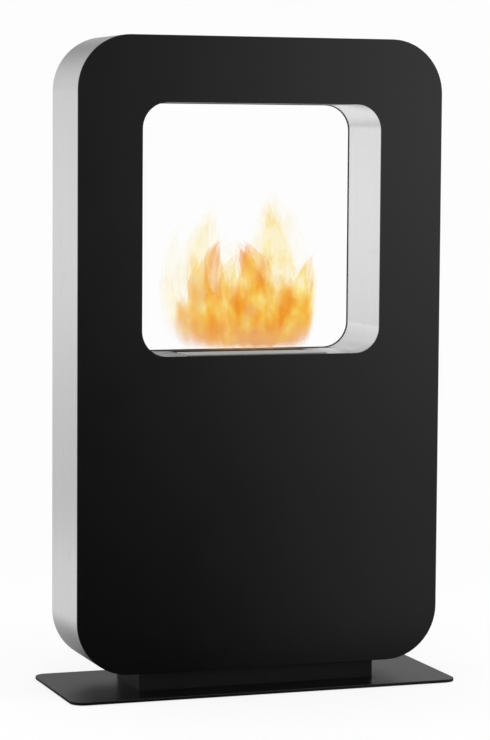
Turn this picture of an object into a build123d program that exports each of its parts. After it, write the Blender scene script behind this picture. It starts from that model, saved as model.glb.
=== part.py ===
from build123d import *
import os

# Freestanding bioethanol fireplace: a slim cabinet with a window right through it, a slot burner
# in the window's sill, and a plinth on a flat base plate.
# Millimetres. +Z is up, the front faces -Y, and the origin is on the floor under the base's middle.

# Cabinet
body_width = 607
body_height = 1000
body_depth = 146
body_corner = 86
panel_sheet = 2.5
band_sheet = 1.5
seam_gap = 0.6
rear_panel_gap = 0.5
panel_edge_round = 0.5

# Window through the cabinet, whose panels reach a little past the liner
window_width = 398
window_height = 396
window_corner = 41
window_top_margin = 104
panel_lip = 1
liner_sheet = 1.5

# Base, plinth and floor pads
base_width = 646
base_depth = 244
base_sheet = 5
base_corner = 22
base_edge_round = 0.8
plinth_width = 396
plinth_depth = 123
plinth_height = 29
plinth_sheet = 2
plinth_corner = 2.5
pad_radius = 15
pad_thickness = 1
pad_inset = 34

# Welded inner frame
frame_sheet = 2
channel_web_sheet = 3
channel_wall = 34
upright_flange = 26
upright_end_gap = 2
rail_drop = 40
rail_ledge = 10
stay_length_y = 90
stay_tab = 18
stay_levels = 3
stay_end_inset = 250

# Fixings between the panels and the frame
fixing_radius = 2.5
fixing_hole_slack = 0.25
fixing_levels = 5
fixing_end_inset = 92
fixing_spread = 110
stud_length = 9
screw_length = 9
screw_head_radius = 4.75
screw_head_height = 2.6
screw_socket_width = 3
screw_socket_depth = 1.4
nut_width = 8
nut_height = 4

# Bolts that hold base, plinth and cabinet together
bolt_radius = 4
bolt_hole_slack = 0.5
bolt_head_radius = 8
bolt_head_height = 4
bolt_socket_width = 5
bolt_socket_depth = 2.4
bolt_spread_x = 150
bolt_spread_y = 36
bolt_end_past_nut = 2
sleeve_wall = 3
washer_radius = 9
washer_thickness = 1.6
bolt_nut_width = 13
bolt_nut_height = 6.5

# Burner, whose top plate lies flush in the sill
slot_end_inset = 8
slot_rear_inset = 6
slot_width = 34
burner_top_overhang_x = 18
burner_top_overhang_y = 8
burner_top_sheet = 1.5
burner_top_corner = 6
tank_length = 240
tank_depth = 108
tank_height = 60
tank_sheet = 1.5
tank_corner = 6
wool_height = 42
screen_sheet = 0.8
screen_hole_radius = 2.6
screen_hole_pitch = 9
sill_clearance = 0.8

# Burner cradle, insulation and heat shield under the sill
cradle_sheet = 1.5
cradle_clearance = 3
cradle_air_gap = 6
cradle_lip_inset = 2
insulation_thickness = 20
shield_sheet = 1
shield_air_gap = 12
shield_lip = 16
shield_edge_gap = 0.5
shield_screw_radius = 2
shield_screw_head_radius = 3.6
shield_screw_head_height = 2.2

# Shutter that slides over the slot, led by its folded ends in two grooves of the burner's top
shutter_tank_gap = 1
shutter_depth = 62
shutter_sheet = 1.5
shutter_overlap = 6
shutter_rest_gap = 7
shutter_corner = 3
shutter_fold_depth = 6
shutter_fold_inset = 6
slide_clearance = 0.4
hook_hole_length = 18
hook_hole_width = 8
hook_hole_inset = 12

# Heights
base_bottom = pad_thickness
base_top = base_bottom + base_sheet
body_bottom = base_top + plinth_height
body_top = body_bottom + body_height
body_middle = (body_bottom + body_top) / 2
window_top = body_top - window_top_margin
window_bottom = window_top - window_height
window_middle = (window_top + window_bottom) / 2
band_floor = body_bottom + band_sheet
band_roof = body_top - band_sheet
sill = window_bottom - panel_lip
sill_underside = sill - liner_sheet
header = window_top + panel_lip + liner_sheet
ledge_top = sill_underside - cradle_sheet
ledge_underside = ledge_top - frame_sheet

# Depths and widths
front_face = -body_depth / 2
rear_face = body_depth / 2
frame_half_depth = body_depth / 2 - panel_sheet
liner_half_width = window_width / 2 + panel_lip
frame_half_width = liner_half_width + liner_sheet
upright_outer = frame_half_width + frame_sheet
band_half_width = body_width / 2 - band_sheet
fixing_hole_radius = fixing_radius + fixing_hole_slack
upright_fixing_x = upright_outer + upright_flange / 2

# Burner and shutter levels
burner_top_face = sill_underside + burner_top_sheet
tank_bottom = sill_underside - tank_height
wool_bottom = tank_bottom + tank_sheet
screen_bottom = wool_bottom + wool_height
burner_top_length = tank_length + 2 * burner_top_overhang_x
burner_top_depth = tank_depth + 2 * burner_top_overhang_y
cutout_length = burner_top_length + 2 * sill_clearance
cutout_depth = burner_top_depth + 2 * sill_clearance
cradle_inner_length = tank_length + 2 * cradle_clearance
cradle_inner_depth = tank_depth + 2 * cradle_clearance
cradle_floor = tank_bottom - cradle_air_gap
cradle_bottom = cradle_floor - cradle_sheet
shield_half_length = cradle_inner_length / 2 + cradle_sheet + shield_air_gap
shield_floor = cradle_bottom - insulation_thickness
shield_screw_x = shield_half_length + shield_sheet + shield_lip / 2
shield_screw_y = frame_half_depth - (rail_ledge + frame_sheet) / 2
shield_half_depth = frame_half_depth - frame_sheet - shield_edge_gap
cradle_lip_half_length = window_width / 2 - window_corner - cradle_lip_inset
slot_length = tank_length - 2 * slot_end_inset
slot_rear = tank_depth / 2 - slot_rear_inset
slot_front = slot_rear - slot_width
shutter_length = tank_length - 2 * (tank_sheet + shutter_tank_gap)
shutter_travel = slot_rear + shutter_overlap - (slot_front - shutter_rest_gap)
shutter_rear_open = slot_front - shutter_rest_gap
shutter_front_open = shutter_rear_open - shutter_depth
shutter_underside = burner_top_face + slide_clearance
fold_outer = shutter_length / 2
fold_inner = fold_outer - shutter_sheet
fold_front = shutter_front_open + shutter_fold_inset
fold_rear = shutter_rear_open - shutter_fold_inset


def block(x_limits, y_limits, z_limits):
    """A plain block between two limits on each axis."""
    middles = [(low + high) / 2 for low, high in (x_limits, y_limits, z_limits)]
    lengths = [high - low for low, high in (x_limits, y_limits, z_limits)]
    return Pos(*middles) * Box(*lengths)


def flat_outline(width, depth, corner):
    """A rounded rectangle that lies flat, centred on the Z axis."""
    return RectangleRounded(width, depth, corner)


def flat_sheet(outline, bottom, thickness):
    """A flat outline extruded upwards from a height."""
    return extrude(Pos(0, 0, bottom) * outline, amount=thickness)


def face_outline(width, height, corner, middle):
    """A rounded rectangle drawn as seen from the front, centred at a height."""
    return Pos(0, middle) * RectangleRounded(width, height, corner)


def face_sheet(outline, front, depth):
    """An outline drawn as seen from the front, extruded backwards from a depth."""
    return extrude(Plane.XZ.offset(-front) * outline, amount=-depth)


def rod_along_y(x, z, start, end, radius):
    """A round rod or drill along Y between two depths."""
    middle = (start + end) / 2
    return Pos(x, middle, z) * Rot(X=90) * Cylinder(radius, abs(end - start))


def rod_along_z(x, y, start, end, radius):
    """A round rod or drill along Z between two heights."""
    return Pos(x, y, (start + end) / 2) * Cylinder(radius, abs(end - start))


def hexagon_prism(width, height):
    """A hexagon prism of a width across flats that stands on the origin."""
    return extrude(RegularPolygon(width / 2, 6, major_radius=False), amount=height)


def corner_points(spread_x, spread_y):
    """The four corners of a rectangle round the origin."""
    return [(x, y) for x in (-spread_x, spread_x) for y in (-spread_y, spread_y)]


def spaced(low, high, count):
    """Evenly spaced values from low to high."""
    return [low + (high - low) * step / (count - 1) for step in range(count)]


upright_heights = spaced(body_bottom + fixing_end_inset, body_top - fixing_end_inset, fixing_levels)
upright_fixings = [(side * upright_fixing_x, height) for side in (-1, 1) for height in upright_heights]
channel_fixing_drop = channel_wall - nut_width - frame_sheet
rail_fixing_drop = rail_drop / 2
bottom_fixings = [(side * fixing_spread, band_floor + channel_fixing_drop) for side in (-1, 1)]
top_fixings = [(side * fixing_spread, band_roof - channel_fixing_drop) for side in (-1, 1)]
sill_fixings = [(side * fixing_spread, ledge_top - rail_fixing_drop) for side in (-1, 1)]
header_fixings = [(side * fixing_spread, header + rail_fixing_drop) for side in (-1, 1)]
all_fixings = upright_fixings + bottom_fixings + top_fixings + sill_fixings + header_fixings
base_bolt_points = corner_points(bolt_spread_x, bolt_spread_y)
bolt_hole_radius = bolt_radius + bolt_hole_slack


def fixing_drills(points, sides):
    """Drills for the fixings through the frame's front walls, rear walls or both."""
    wall_reach = frame_sheet + panel_sheet
    drills = []
    for x, z in points:
        for side in sides:
            outer = side * (frame_half_depth + panel_sheet)
            radius = fixing_radius if side > 0 else fixing_hole_radius
            drills.append(rod_along_y(x, z, outer, outer - side * (wall_reach + frame_sheet), radius))
    return drills


def bolt_drills(radius):
    """Drills for the base bolts from the floor up through the cabinet's bottom channel."""
    top = band_floor + channel_web_sheet + frame_sheet
    return [rod_along_z(x, y, base_bottom, top, radius) for x, y in base_bolt_points]


# Base and plinth

def floor_pads():
    spread_x = base_width / 2 - pad_inset
    spread_y = base_depth / 2 - pad_inset
    pads = [rod_along_z(x, y, 0, pad_thickness, pad_radius) for x, y in corner_points(spread_x, spread_y)]
    return Part() + pads


def base_plate():
    plate = flat_sheet(flat_outline(base_width, base_depth, base_corner), base_bottom, base_sheet)
    rims = plate.faces().sort_by(Axis.Z)[-1].edges() + plate.faces().sort_by(Axis.Z)[0].edges()
    plate = fillet(rims, base_edge_round)
    plate -= bolt_drills(bolt_hole_radius)
    for x, y in base_bolt_points:
        head = Cone(bolt_head_radius, bolt_radius, bolt_head_height)
        plate -= Pos(x, y, base_bottom + bolt_head_height / 2) * head
    return plate


def plinth():
    outer = flat_outline(plinth_width, plinth_depth, plinth_corner)
    inner_corner = max(plinth_corner - plinth_sheet, plinth_sheet / 10)
    inner = flat_outline(plinth_width - 2 * plinth_sheet, plinth_depth - 2 * plinth_sheet, inner_corner)
    shell = flat_sheet(outer, base_top, plinth_height)
    shell -= flat_sheet(inner, base_top, plinth_height - plinth_sheet)
    return shell - bolt_drills(bolt_hole_radius)


def base_bolts():
    bolt_top = band_floor + channel_web_sheet + washer_thickness + bolt_nut_height + bolt_end_past_nut
    bolts = []
    for x, y in base_bolt_points:
        bolt = rod_along_z(x, y, base_bottom, bolt_top, bolt_radius)
        bolt += Pos(x, y, base_bottom + bolt_head_height / 2) * Cone(
            bolt_head_radius, bolt_radius, bolt_head_height)
        bolt -= Pos(x, y, base_bottom) * hexagon_prism(bolt_socket_width, bolt_socket_depth)
        bolts.append(bolt)
    return Part() + bolts


def bolt_sleeves():
    top = body_bottom - plinth_sheet
    outer = [rod_along_z(x, y, base_top, top, bolt_hole_radius + sleeve_wall) for x, y in base_bolt_points]
    return (Part() + outer) - bolt_drills(bolt_hole_radius)


def base_washers():
    bottom = band_floor + channel_web_sheet
    discs = [rod_along_z(x, y, bottom, bottom + washer_thickness, washer_radius) for x, y in base_bolt_points]
    drills = [rod_along_z(x, y, bottom, bottom + washer_thickness, bolt_hole_radius)
              for x, y in base_bolt_points]
    return (Part() + discs) - drills


def base_nuts():
    bottom = band_floor + channel_web_sheet + washer_thickness
    nuts = []
    for x, y in base_bolt_points:
        nut = Pos(x, y, bottom) * hexagon_prism(bolt_nut_width, bolt_nut_height)
        nuts.append(nut - rod_along_z(x, y, bottom, bottom + bolt_nut_height, bolt_radius))
    return Part() + nuts


# Cabinet shell

def outer_band():
    outer = face_outline(body_width, body_height, body_corner, body_middle)
    inner = face_outline(body_width - 2 * band_sheet, body_height - 2 * band_sheet,
                         body_corner - band_sheet, body_middle)
    front = front_face + panel_sheet
    band = face_sheet(outer - inner, front, rear_face - front)
    band -= block((-seam_gap / 2, seam_gap / 2), (front, rear_face), (body_bottom, band_floor))
    return band - bolt_drills(bolt_hole_radius)


def window_outline(margin):
    """The window as seen from the front, larger all round by a margin."""
    return face_outline(window_width + 2 * margin, window_height + 2 * margin,
                        window_corner + margin, window_middle)


def front_panel():
    outline = face_outline(body_width, body_height, body_corner, body_middle)
    panel = face_sheet(outline, front_face, panel_sheet)
    panel -= face_sheet(window_outline(0), front_face, panel_sheet)
    return fillet(panel.faces().sort_by(Axis.Y)[0].edges(), panel_edge_round)


def rear_panel():
    inset = band_sheet + rear_panel_gap
    outline = face_outline(body_width - 2 * inset, body_height - 2 * inset, body_corner - inset, body_middle)
    front = rear_face - panel_sheet
    panel = face_sheet(outline, front, panel_sheet)
    panel -= face_sheet(window_outline(0), front, panel_sheet)
    panel = fillet(panel.faces().sort_by(Axis.Y)[-1].edges(), panel_edge_round)
    return panel - [rod_along_y(x, z, front, rear_face, fixing_hole_radius) for x, z in all_fixings]


def window_liner():
    ring = window_outline(panel_lip + liner_sheet) - window_outline(panel_lip)
    liner = face_sheet(ring, -frame_half_depth, 2 * frame_half_depth)
    cutout = flat_outline(cutout_length, cutout_depth, burner_top_corner + sill_clearance)
    liner -= flat_sheet(cutout, sill_underside, liner_sheet)
    return liner - block((-seam_gap / 2, seam_gap / 2), (-frame_half_depth, frame_half_depth),
                         (sill_underside, sill))


# Welded inner frame

def upright(side):
    heights = (band_floor + upright_end_gap, band_roof - upright_end_gap)
    inner = side * frame_half_width
    web_outer = side * upright_outer
    tip = side * (upright_outer + upright_flange)
    channel = block(sorted((inner, web_outer)), (-frame_half_depth, frame_half_depth), heights)
    for face in (-1, 1):
        wall = sorted((face * frame_half_depth, face * (frame_half_depth - frame_sheet)))
        channel += block(sorted((inner, tip)), wall, heights)
    return channel - fixing_drills([point for point in upright_fixings if point[0] * side > 0], (-1, 1))


def upright_left():
    return upright(-1)


def upright_right():
    return upright(1)


def channel(web, walls, points):
    """A folded channel between the uprights, with its web flat and a wall at the front and rear."""
    length = (-frame_half_width, frame_half_width)
    profile = block(length, (-frame_half_depth, frame_half_depth), web)
    for face in (-1, 1):
        wall = sorted((face * frame_half_depth, face * (frame_half_depth - frame_sheet)))
        profile += block(length, wall, walls)
    return profile - fixing_drills(points, (-1, 1))


def bottom_channel():
    web = (band_floor, band_floor + channel_web_sheet)
    walls = (band_floor, band_floor + channel_wall)
    return channel(web, walls, bottom_fixings) - bolt_drills(bolt_hole_radius)


def top_channel():
    web = (band_roof - frame_sheet, band_roof)
    walls = (band_roof - channel_wall, band_roof)
    return channel(web, walls, top_fixings)


def rail(face, ledge, wall, points):
    """An angle between the uprights: a ledge that carries the liner, and a wall against a panel."""
    length = (-frame_half_width, frame_half_width)
    ledge_depth = sorted((face * frame_half_depth, face * (frame_half_depth - rail_ledge)))
    wall_depth = sorted((face * frame_half_depth, face * (frame_half_depth - frame_sheet)))
    angle = block(length, ledge_depth, ledge) + block(length, wall_depth, wall)
    return angle - fixing_drills(points, (face,))


def sill_rail(face):
    ledge = (ledge_underside, ledge_top)
    angle = rail(face, ledge, (ledge_top - rail_drop, ledge_top), sill_fixings)
    return angle - [rod_along_z(x, face * shield_screw_y, ledge_underside, ledge_top, shield_screw_radius)
                    for x in (-shield_screw_x, shield_screw_x)]


def sill_rail_front():
    return sill_rail(-1)


def sill_rail_rear():
    return sill_rail(1)


def header_rail(face):
    return rail(face, (header, header + frame_sheet), (header, header + rail_drop), header_fixings)


def header_rail_front():
    return header_rail(-1)


def header_rail_rear():
    return header_rail(1)


def band_stays():
    heights = spaced(body_bottom + stay_end_inset, body_top - stay_end_inset, stay_levels)
    depth = (-stay_length_y / 2, stay_length_y / 2)
    stays = []
    for side in (-1, 1):
        for height in heights:
            inner = side * upright_outer
            outer = side * band_half_width
            stay = block(sorted((inner, outer)), depth, (height, height + frame_sheet))
            for end, inward in ((inner, side), (outer, -side)):
                tab = sorted((end, end + inward * frame_sheet))
                stay += block(tab, depth, (height, height + stay_tab))
            stays.append(stay)
    return Part() + stays


# Panel fixings

def front_panel_studs():
    return Part() + [rod_along_y(x, z, -frame_half_depth, stud_length - frame_half_depth, fixing_radius)
                     for x, z in all_fixings]


def front_panel_nuts():
    nuts = []
    for x, z in all_fixings:
        nut = hexagon_prism(nut_width, nut_height) - rod_along_z(0, 0, 0, nut_height, fixing_radius)
        nuts.append(Pos(x, frame_sheet - frame_half_depth, z) * Rot(X=-90) * nut)
    return Part() + nuts


def rear_panel_screw():
    head = rod_along_z(0, 0, -screw_head_height, 0, screw_head_radius)
    head = fillet(head.edges().sort_by(Axis.Z)[0], 0.7 * screw_head_height)
    socket = Pos(0, 0, -screw_head_height) * hexagon_prism(screw_socket_width, screw_socket_depth)
    return head + rod_along_z(0, 0, 0, screw_length, fixing_radius) - socket


def rear_panel_screws():
    screw = rear_panel_screw()
    return Part() + [Pos(x, rear_face, z) * Rot(X=90) * screw for x, z in all_fixings]


# Under the sill

def burner_cradle():
    inner = flat_outline(cradle_inner_length, cradle_inner_depth, tank_corner + cradle_clearance)
    outer = flat_outline(cradle_inner_length + 2 * cradle_sheet, cradle_inner_depth + 2 * cradle_sheet,
                         tank_corner + cradle_clearance + cradle_sheet)
    tray = flat_sheet(outer, cradle_bottom, sill_underside - cradle_bottom)
    lip_depth = 2 * (frame_half_depth - frame_sheet)
    tray += flat_sheet(Rectangle(2 * cradle_lip_half_length, lip_depth), ledge_top, cradle_sheet)
    return tray - flat_sheet(inner, cradle_floor, sill_underside - cradle_floor)


def insulation_board():
    outline = flat_outline(cradle_inner_length + 2 * cradle_sheet, cradle_inner_depth + 2 * cradle_sheet,
                           tank_corner + cradle_clearance + cradle_sheet)
    return flat_sheet(outline, shield_floor, insulation_thickness)


def heat_shield():
    depth = (-shield_half_depth, shield_half_depth)
    floor = (shield_floor - shield_sheet, shield_floor)
    half_length = shield_half_length + shield_sheet
    shield = block((-half_length, half_length), depth, floor)
    for side in (-1, 1):
        wall = sorted((side * shield_half_length, side * half_length))
        lip = sorted((side * shield_half_length, side * (half_length + shield_lip)))
        shield += block(wall, depth, (shield_floor, ledge_underside))
        shield += block(lip, depth, (ledge_underside - shield_sheet, ledge_underside))
    drills = [rod_along_z(x, y, ledge_underside - shield_sheet, ledge_underside, shield_screw_radius)
              for x, y in corner_points(shield_screw_x, shield_screw_y)]
    return shield - drills


def shield_screws():
    seat = ledge_underside - shield_sheet
    screws = []
    for x, y in corner_points(shield_screw_x, shield_screw_y):
        head = rod_along_z(x, y, seat - shield_screw_head_height, seat, shield_screw_head_radius)
        screws.append(head + rod_along_z(x, y, seat, ledge_top, shield_screw_radius))
    return Part() + screws


# Burner that lifts out

def burner_tank():
    outer = flat_outline(tank_length, tank_depth, tank_corner)
    inner = flat_outline(tank_length - 2 * tank_sheet, tank_depth - 2 * tank_sheet, tank_corner - tank_sheet)
    tank = flat_sheet(outer, tank_bottom, tank_height)
    return tank - flat_sheet(inner, wool_bottom, sill_underside - wool_bottom)


def ceramic_wool():
    outline = flat_outline(tank_length - 2 * tank_sheet, tank_depth - 2 * tank_sheet, tank_corner - tank_sheet)
    return flat_sheet(outline, wool_bottom, wool_height)


def wool_screen():
    outline = flat_outline(tank_length - 2 * tank_sheet, tank_depth - 2 * tank_sheet, tank_corner - tank_sheet)
    screen = flat_sheet(outline, screen_bottom, screen_sheet)
    columns = int(slot_length // screen_hole_pitch)
    rows = int(slot_width // screen_hole_pitch) + 1
    holes = GridLocations(screen_hole_pitch, screen_hole_pitch, columns, rows)
    middle = Pos(0, (slot_front + slot_rear) / 2, screen_bottom + screen_sheet / 2)
    return screen - [middle * place * Cylinder(screen_hole_radius, screen_sheet) for place in holes]


def burner_top():
    plate = flat_sheet(flat_outline(burner_top_length, burner_top_depth, burner_top_corner),
                       sill_underside, burner_top_sheet)
    plate = fillet(plate.faces().sort_by(Axis.Z)[-1].edges(), burner_top_sheet / 4)
    slot = Pos(0, (slot_front + slot_rear) / 2) * RectangleRounded(slot_length, slot_width, shutter_corner)
    plate -= flat_sheet(slot, sill_underside, burner_top_sheet)
    groove_depth = (fold_front - slide_clearance, fold_rear + shutter_travel + slide_clearance)
    for side in (-1, 1):
        groove = sorted((side * (fold_inner - slide_clearance), side * (fold_outer + slide_clearance)))
        plate -= block(groove, groove_depth, (sill_underside, burner_top_face))
    return plate


# Shutter

def shutter_plate():
    middle = (shutter_front_open + shutter_rear_open) / 2
    outline = Pos(0, middle) * RectangleRounded(shutter_length, shutter_depth, shutter_corner)
    hook = Pos(0, shutter_front_open + hook_hole_inset) * SlotOverall(hook_hole_length, hook_hole_width)
    plate = flat_sheet(outline - hook, shutter_underside, shutter_sheet)
    plate = fillet(plate.faces().sort_by(Axis.Z)[-1].edges(), shutter_sheet / 4)
    fold_height = (shutter_underside - shutter_fold_depth, shutter_underside)
    for side in (-1, 1):
        plate += block(sorted((side * fold_inner, side * fold_outer)), (fold_front, fold_rear), fold_height)
    return plate


pieces = [
    floor_pads, base_plate, plinth, base_bolts, bolt_sleeves, base_washers, base_nuts,
    outer_band, front_panel, rear_panel, window_liner,
    upright_left, upright_right, bottom_channel, top_channel,
    sill_rail_front, sill_rail_rear, header_rail_front, header_rail_rear, band_stays,
    front_panel_studs, front_panel_nuts, rear_panel_screws,
    burner_cradle, insulation_board, heat_shield, shield_screws,
    burner_tank, ceramic_wool, wool_screen, burner_top, shutter_plate,
]

os.makedirs("parts", exist_ok=True)
for piece in pieces:
    export_step(piece(), f"parts/{piece.__name__}.step")
print("shutter travel", shutter_travel)
print("sill height", sill, "window top", window_top, "body top", body_top)
print("screen top", screen_bottom + screen_sheet, "burner top face", burner_top_face)
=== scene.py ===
"""Finishes, flame, wool filling and studio for a freestanding bioethanol fireplace, in metres."""

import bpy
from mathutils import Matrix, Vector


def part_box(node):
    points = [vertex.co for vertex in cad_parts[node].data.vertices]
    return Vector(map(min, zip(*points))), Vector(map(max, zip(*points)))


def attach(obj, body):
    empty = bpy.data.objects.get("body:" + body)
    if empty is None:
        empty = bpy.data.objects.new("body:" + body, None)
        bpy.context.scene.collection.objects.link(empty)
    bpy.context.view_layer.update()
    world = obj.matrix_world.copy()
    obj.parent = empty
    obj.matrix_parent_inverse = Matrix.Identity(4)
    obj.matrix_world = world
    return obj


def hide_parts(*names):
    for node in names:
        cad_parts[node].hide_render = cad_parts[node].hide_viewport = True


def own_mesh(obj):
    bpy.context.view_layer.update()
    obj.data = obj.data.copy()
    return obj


bl_info = {
    "name": "Bioethanol fireplace",
    "version": (1, 0, 0),
    "blender": (4, 5, 0),
    "location": "3D View > Sidebar > Fireplace",
    "description": "Gives the fireplace its finishes, burner wool, flame and a plain studio",
    "category": "Object",
}

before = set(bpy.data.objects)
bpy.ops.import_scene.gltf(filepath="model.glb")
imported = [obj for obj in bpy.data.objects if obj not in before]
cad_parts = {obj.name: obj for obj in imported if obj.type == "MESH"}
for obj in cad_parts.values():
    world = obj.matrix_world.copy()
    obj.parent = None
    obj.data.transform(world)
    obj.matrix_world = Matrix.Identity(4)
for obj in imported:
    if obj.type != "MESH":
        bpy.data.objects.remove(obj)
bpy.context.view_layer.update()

import math
import random
from collections import namedtuple

import bmesh
import bpy
from mathutils import Matrix, Vector, noise

MM = 0.001

COATED = ("front_panel", "rear_panel")
FRAME_PIECES = ("upright_left", "upright_right", "bottom_channel", "top_channel", "sill_rail_front",
                "sill_rail_rear", "header_rail_front", "header_rail_rear", "band_stays",
                "heat_shield", "bolt_sleeves")
BURNER_PIECES = ("burner_tank", "burner_top", "burner_cradle")
ZINC_FASTENERS = ("base_washers", "base_nuts", "front_panel_studs", "front_panel_nuts", "shield_screws")
BLACK_FASTENERS = ("rear_panel_screws", "base_bolts")

# Places on the burner, the window's liner and the base plate, measured from the solids

_, top_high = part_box("burner_top")
wool_low, wool_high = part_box("ceramic_wool")
tank_low, tank_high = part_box("burner_tank")
liner_low, liner_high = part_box("window_liner")
_, base_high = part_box("base_plate")
LINER_SHEET = 1.5 * MM
SLOT_END_INSET = 8 * MM
SLOT_REAR_INSET = 6 * MM
SLOT_WIDTH = 34 * MM
slot_half = Vector(((tank_high.x - tank_low.x) / 2 - SLOT_END_INSET, SLOT_WIDTH / 2, 0))
slot_middle = Vector((0, tank_high.y - SLOT_REAR_INSET - SLOT_WIDTH / 2, top_high.z))
slot_rear = slot_middle.y + slot_half.y


def srgb(red, green, blue):
    """A colour given as it shows on a screen, 0 to 255, as the linear colour that shaders take."""
    def linear(channel):
        return ((channel / 255 + 0.055) / 1.055) ** 2.4 if channel > 10 else channel / 255 / 12.92
    return linear(red), linear(green), linear(blue)


# Colours of wear, heat, painted shade and the studio, which nobody would set

WORN_COAT = (0.010, 0.010, 0.0095)
# Next: dull black of the film of painted shade on the liner and behind the burner's slot
PAINTED_SHADE_BLACK = (0.01, 0.009, 0.008)
STRAW_HEAT = (0.48, 0.40, 0.26)
BROWN_HEAT = (0.13, 0.09, 0.07)
DARK_HEAT = (0.04, 0.032, 0.028)
# Next: dark steel of the painted shade below the burner's top plate
PAINTED_SHADE_STEEL = (0.055, 0.045, 0.036)
SCREEN_BROWN = (0.20, 0.13, 0.09)
SCREEN_SPECK = (0.05, 0.045, 0.05)
ZINC_STAIN = (0.62, 0.62, 0.60)
OXIDE = (0.012, 0.012, 0.013)
RUBBED_OXIDE = (0.05, 0.05, 0.052)
RUBBER = (0.012, 0.012, 0.012)
FLOOR_DUST = (0.07, 0.067, 0.06)
SCORCHED_FIBRE = (0.20, 0.13, 0.08)
PALEST_FLAME = srgb(252, 240, 196)
WHITE = (1, 1, 1, 1)
PALE_FLOOR = (0.96, 0.96, 0.96, 1)

# Distances from the slot where each heat colour starts and where it is full, in millimetres. Past the
# slot's ends they are END_PINCH times shorter.

HEAT_RINGS = ((22, 14, STRAW_HEAT), (17, 11, BROWN_HEAT), (12, 5, DARK_HEAT))
END_PINCH = 5.0

# Depth of the surface's relief, and how little the steel mirrors under the film of painted shade

FINE_RELIEF = 0.1 * MM
COARSE_RELIEF = 0.2 * MM
FIBRE_RELIEF = 1.2 * MM
STEEL_INDEX = 1.05

# Strands of fibre to a metre, pressed in the board and loose in the wool

BOARD_STRANDS = 240.0
WOOL_STRANDS = 420.0


# Settings

class FinishSettings(bpy.types.PropertyGroup):
    """Colours of the coat, the steels, the zinc and the fibre"""
    coat_colour: bpy.props.FloatVectorProperty(
        name="Coat colour", description="Black powder coat on the panels, plinth and base",
        subtype="COLOR", size=3, min=0, max=1, default=(0.0026, 0.0026, 0.0027))
    coat_roughness: bpy.props.FloatProperty(
        name="Coat roughness", description="How matt the black coat is",
        subtype="FACTOR", min=0, max=1, default=0.2)
    band_colour: bpy.props.FloatVectorProperty(
        name="Band colour", description="Brushed steel of the outer band",
        subtype="COLOR", size=3, min=0, max=1, default=(0.64, 0.64, 0.64))
    # The liner's steel is set brighter than the band's: partly a polished sheet, partly painted light
    liner_colour: bpy.props.FloatVectorProperty(
        name="Liner colour", description="Brushed steel that lines the window",
        subtype="COLOR", size=3, min=0, max=1, default=(0.72, 0.72, 0.72))
    burner_colour: bpy.props.FloatVectorProperty(
        name="Burner colour", description="Satin steel of the burner and its shutter",
        subtype="COLOR", size=3, min=0, max=1, default=(0.6, 0.59, 0.57))
    zinc_colour: bpy.props.FloatVectorProperty(
        name="Zinc colour", description="Galvanised frame and plated fasteners",
        subtype="COLOR", size=3, min=0, max=1, default=(0.5, 0.51, 0.53))
    fibre_colour: bpy.props.FloatVectorProperty(
        name="Fibre colour", description="Ceramic fibre of the wool and the insulation board",
        subtype="COLOR", size=3, min=0, max=1, default=(0.78, 0.76, 0.71))


class FlameSettings(bpy.types.PropertyGroup):
    """Size, density and colours of the flame"""
    height_scale: bpy.props.FloatProperty(
        name="Height", description="Height of the flame against its full size",
        subtype="FACTOR", min=0.2, max=1.2, default=1.0)
    density: bpy.props.FloatProperty(
        name="Density", description="How thick the flame looks",
        subtype="FACTOR", min=0, max=1, default=1.0)
    shells: bpy.props.IntProperty(
        name="Shells", description="Layers inside each tongue, which soften its edge",
        min=1, max=8, default=6)
    deep_colour: bpy.props.FloatVectorProperty(
        name="Deep colour", description="Orange of the hottest looking streaks",
        subtype="COLOR", size=3, min=0, max=1, default=srgb(238, 140, 34))
    orange_colour: bpy.props.FloatVectorProperty(
        name="Orange", description="Main colour of the tongues",
        subtype="COLOR", size=3, min=0, max=1, default=srgb(242, 164, 50))
    gold_colour: bpy.props.FloatVectorProperty(
        name="Gold", description="Lighter tongues",
        subtype="COLOR", size=3, min=0, max=1, default=srgb(246, 194, 70))
    lemon_colour: bpy.props.FloatVectorProperty(
        name="Lemon", description="Brightest streaks and wisps",
        subtype="COLOR", size=3, min=0, max=1, default=srgb(250, 232, 140))
    foot_colour: bpy.props.FloatVectorProperty(
        name="Foot colour", description="Soft peach at the foot of the flame",
        subtype="COLOR", size=3, min=0, max=1, default=srgb(232, 170, 112))


class StudioSettings(bpy.types.PropertyGroup):
    """Camera, backdrop and light"""
    camera_place: bpy.props.FloatVectorProperty(
        name="Camera place", description="Where the camera stands",
        subtype="TRANSLATION", unit="LENGTH", size=3, default=(-1.4642, -4.1389, 0.8710))
    camera_turn: bpy.props.FloatProperty(
        name="Turn", description="How far the camera looks right of straight back",
        subtype="ANGLE", default=math.radians(19.442))
    camera_tilt: bpy.props.FloatProperty(
        name="Tilt", description="How far the camera looks up",
        subtype="ANGLE", default=math.radians(-4.764))
    camera_roll: bpy.props.FloatProperty(
        name="Roll", description="How far the camera leans",
        subtype="ANGLE", default=math.radians(0.401))
    lens: bpy.props.FloatProperty(
        name="Lens", description="Focal length on a 36 mm frame",
        unit="CAMERA", min=10, max=400, default=133.31)
    background: bpy.props.FloatProperty(
        name="Background", description="Brightness of the backdrop as the camera sees it",
        subtype="FACTOR", min=0, max=1, default=0.982)
    shadow_share: bpy.props.FloatProperty(
        name="Shadow share",
        description="How much of the floor's own shading the camera sees near the object",
        subtype="FACTOR", min=0, max=1, default=0.2)
    card_level: bpy.props.FloatProperty(
        name="Card level", description="Brightness of the reflector card behind on the right",
        subtype="FACTOR", min=0, max=2, default=0.84)
    lamp_power: bpy.props.FloatProperty(
        name="Lamp power", description="Power of the overhead soft lamp",
        unit="POWER", min=0, max=500, default=50.0)


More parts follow.
